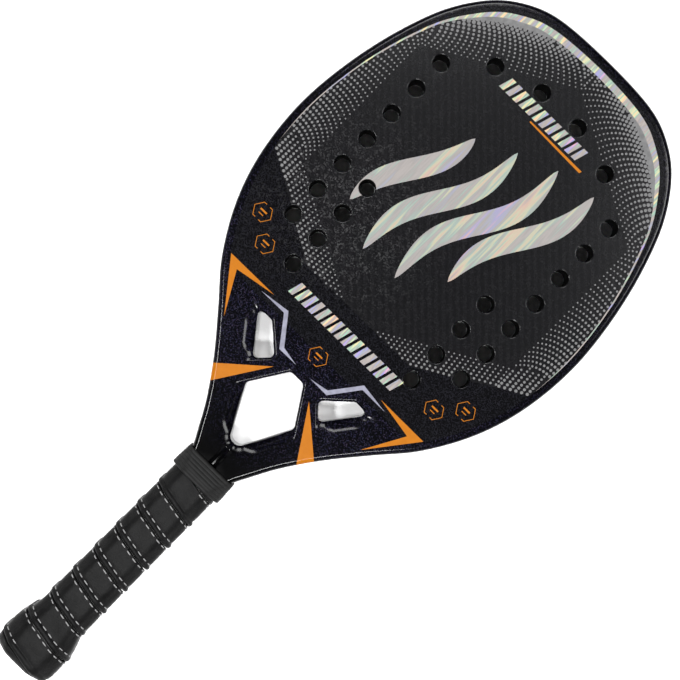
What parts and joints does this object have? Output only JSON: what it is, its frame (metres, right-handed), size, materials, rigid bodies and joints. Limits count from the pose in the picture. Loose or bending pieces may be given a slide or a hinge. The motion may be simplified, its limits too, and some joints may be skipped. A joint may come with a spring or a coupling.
{
  "type": "beach tennis racket",
  "caption": "Perforated beach tennis racket with a tubular carbon frame, an open throat with slanted struts, a foam core, and an octagonal handle wound with a stitched grip strip.",
  "frame": {"origin": "centre of the footprint, at the lowest point of the handle's flared end, with the racket lying on its back", "axes": "+Y from the butt to the tip of the head, +X across the head to the right as the front face is seen, +Z out of the front face"},
  "size_m": [0.226, 0.5, 0.0403],
  "materials": {
    "frame_lacquer": "gloss clear lacquer over black carbon with fine glitter",
    "carbon_face": "satin, fine woven carbon with a sandy playing surface",
    "core_foam": "closed-cell foam, matt",
    "handle_foam": "rigid foam, matt",
    "cap_plastic": "moulded, satin",
    "grip_leather": "soft matt synthetic leather with stitched edges",
    "finishing_tape": "thin adhesive tape",
    "collar_rubber": "ribbed elastic band, matt"
  },
  "bodies": {
    "root": {"frame_tube": "frame_lacquer", "throat_bridge": "frame_lacquer", "strut_left": "frame_lacquer", "strut_right": "frame_lacquer", "throat_gusset": "frame_lacquer", "face_sheet_front": "carbon_face", "face_sheet_back": "carbon_face", "eva_core": "core_foam", "stem_spacer": "handle_foam", "handle_pallet_front": "handle_foam", "handle_pallet_back": "handle_foam", "stem_plug_left": "cap_plastic", "stem_plug_right": "cap_plastic", "butt_cap": "cap_plastic", "butt_cap_plug": "cap_plastic", "grip_tape": "grip_leather", "finishing_tape": "finishing_tape", "collar_band": "collar_rubber"}
  },
  "joints": []
}
